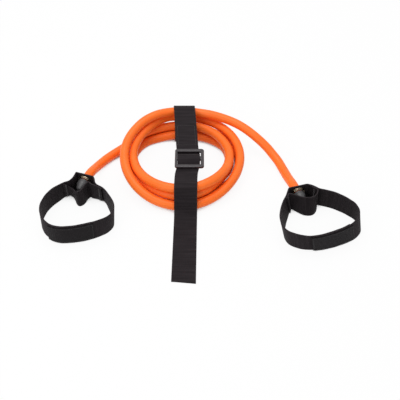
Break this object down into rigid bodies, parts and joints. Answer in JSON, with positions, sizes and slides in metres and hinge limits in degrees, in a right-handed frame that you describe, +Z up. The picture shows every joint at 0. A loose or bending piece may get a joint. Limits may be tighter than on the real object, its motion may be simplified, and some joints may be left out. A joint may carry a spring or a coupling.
{
  "type": "swim resistance band",
  "caption": "Coiled elastic tube with a webbing hand loop swivelling at each end on a brass eyelet, held by a long webbing anchor strap with a sliding buckle.",
  "frame": {"origin": "centre of the footprint of the strap, buckle and handles on the surface it lies on", "axes": "+Z up, off the surface; +Y along the strap from its free end to the coil; +X towards the right handle"},
  "size_m": [0.3846, 0.2748, 0.0463],
  "materials": {
    "tube_rubber": "smooth orange latex tube with a soft sheen",
    "black_webbing": "matt black woven webbing",
    "label_patch": "plain black satin patch, bare",
    "black_thread": "black sewing thread, zigzag bar tack",
    "antique_brass": "darkened brass, polished rim",
    "stopper_plastic": "black moulded plastic",
    "slider_plastic": "black moulded plastic, slightly glossy"
  },
  "bodies": {
    "tube_and_strap": {"tube_coil": "tube_rubber", "tube_left_lead": "tube_rubber", "tube_right_lead": "tube_rubber", "left_stopper": "stopper_plastic", "right_stopper": "stopper_plastic", "strap_sewn_loop": "black_webbing", "strap_slider_bridge": "black_webbing", "strap_tail": "black_webbing"},
    "left_handle": {"left_grip_loop": "black_webbing", "left_pocket_cover": "black_webbing", "left_label_patch": "label_patch", "left_eyelet": "antique_brass", "left_eyelet_washer": "antique_brass", "left_right_bar_tack": "black_thread", "left_left_bar_tack": "black_thread"},
    "right_handle": {"right_grip_loop": "black_webbing", "right_pocket_cover": "black_webbing", "right_label_patch": "label_patch", "right_eyelet": "antique_brass", "right_eyelet_washer": "antique_brass", "right_right_bar_tack": "black_thread", "right_left_bar_tack": "black_thread"},
    "buckle": {"tri_glide": "slider_plastic"}
  },
  "joints": [
    {"name": "left_handle_swivel", "type": "hinge", "parent": "tube_and_strap", "child": "left_handle", "pos_m": [-0.14377, 0.01313, 0.0165], "axis": [0.3256, 0.9455, 0], "continuous": true},
    {"name": "right_handle_swivel", "type": "hinge", "parent": "tube_and_strap", "child": "right_handle", "pos_m": [0.11873, -0.00787, 0.0165], "axis": [-0.2924, 0.9563, 0], "continuous": true},
    {"name": "buckle_slide", "type": "slide", "parent": "tube_and_strap", "child": "buckle", "axis": [0, -0.9997, -0.0262], "range_m": [0, 0.01], "deforming": ["strap_slider_bridge"]}
  ]
}
